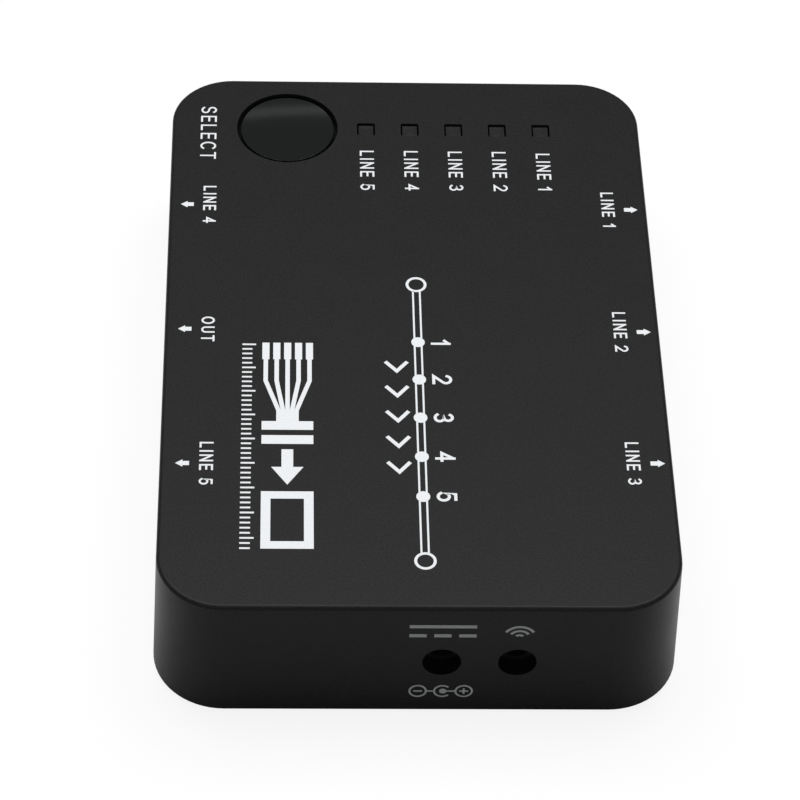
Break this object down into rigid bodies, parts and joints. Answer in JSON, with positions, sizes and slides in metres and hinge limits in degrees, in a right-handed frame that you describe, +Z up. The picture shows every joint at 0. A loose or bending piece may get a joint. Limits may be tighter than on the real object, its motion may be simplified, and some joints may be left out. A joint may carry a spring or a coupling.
{
  "type": "video switch box",
  "caption": "Flat black box with round corners that switches several video inputs to one output, with sockets along both sides, a select button and status windows on top.",
  "frame": {"origin": "middle of the footprint, on the surface that the feet stand on", "axes": "+X to the right seen from the end with the two round jacks, +Y along the box from that end to the button end, +Z up"},
  "size_m": [0.0716, 0.1048, 0.0216],
  "materials": {
    "case_plastic": "fine-grained black moulded plastic",
    "button_plastic": "smooth black moulded plastic",
    "clear_plastic": "smoke-grey clear plastic",
    "foot_rubber": "matt black rubber",
    "screw_steel": "dark plated steel",
    "board_laminate": "green solder mask over glass laminate",
    "lamp_resin": "clear resin over a white carrier",
    "black_nylon": "black moulded nylon",
    "tinned_steel": "tin-plated sheet metal",
    "chip_resin": "moulded chip resin",
    "can_aluminium": "drawn aluminium can",
    "chip_ceramic": "fired ceramic chips",
    "shell_nickel": "nickel-plated sheet steel",
    "contact_gold": "gold-plated contact strips"
  },
  "bodies": {
    "case": {"top_cover": "case_plastic", "base_cover": "case_plastic", "case_screws": "screw_steel", "light_pipe": "clear_plastic", "main_board": "board_laminate", "status_lights": "lamp_resin", "tact_base": "black_nylon", "tact_dome": "tinned_steel", "tact_cover": "tinned_steel", "tact_terminals": "tinned_steel", "power_jack_housing": "black_nylon", "power_jack_pin": "tinned_steel", "power_jack_terminals": "tinned_steel", "remote_jack_housing": "black_nylon", "remote_jack_terminals": "tinned_steel", "switch_chip": "chip_resin", "switch_chip_leads": "tinned_steel", "control_chip": "chip_resin", "control_chip_leads": "tinned_steel", "crystal": "tinned_steel", "regulator": "chip_resin", "power_coil": "chip_resin", "power_capacitors": "can_aluminium", "guard_arrays": "chip_resin", "chip_resistors": "chip_resin", "chip_capacitors": "chip_ceramic", "foot_far_right": "foot_rubber", "foot_far_left": "foot_rubber", "foot_near_left": "foot_rubber", "foot_near_right": "foot_rubber", "socket_shell_in_1": "shell_nickel", "socket_insulator_in_1": "black_nylon", "socket_contacts_in_1": "contact_gold", "socket_shell_in_2": "shell_nickel", "socket_insulator_in_2": "black_nylon", "socket_contacts_in_2": "contact_gold", "socket_shell_in_3": "shell_nickel", "socket_insulator_in_3": "black_nylon", "socket_contacts_in_3": "contact_gold", "socket_shell_in_4": "shell_nickel", "socket_insulator_in_4": "black_nylon", "socket_contacts_in_4": "contact_gold", "socket_shell_out": "shell_nickel", "socket_insulator_out": "black_nylon", "socket_contacts_out": "contact_gold", "socket_shell_in_5": "shell_nickel", "socket_insulator_in_5": "black_nylon", "socket_contacts_in_5": "contact_gold"},
    "button": {"select_button": "button_plastic"},
    "plunger": {"tact_plunger": "black_nylon"}
  },
  "joints": [
    {"name": "button_press", "type": "slide", "parent": "case", "child": "button", "axis": [0, 0, -1], "range_m": [0, 0.0003], "stiffness_N_per_m": 2000},
    {"name": "plunger_press", "type": "slide", "parent": "case", "child": "plunger", "axis": [0, 0, -1], "range_m": [0, 0.0003], "deforming": ["tact_dome"]}
  ],
  "couplings": [
    {"joint": "plunger_press", "follows": "button_press", "ratio": 1}
  ]
}
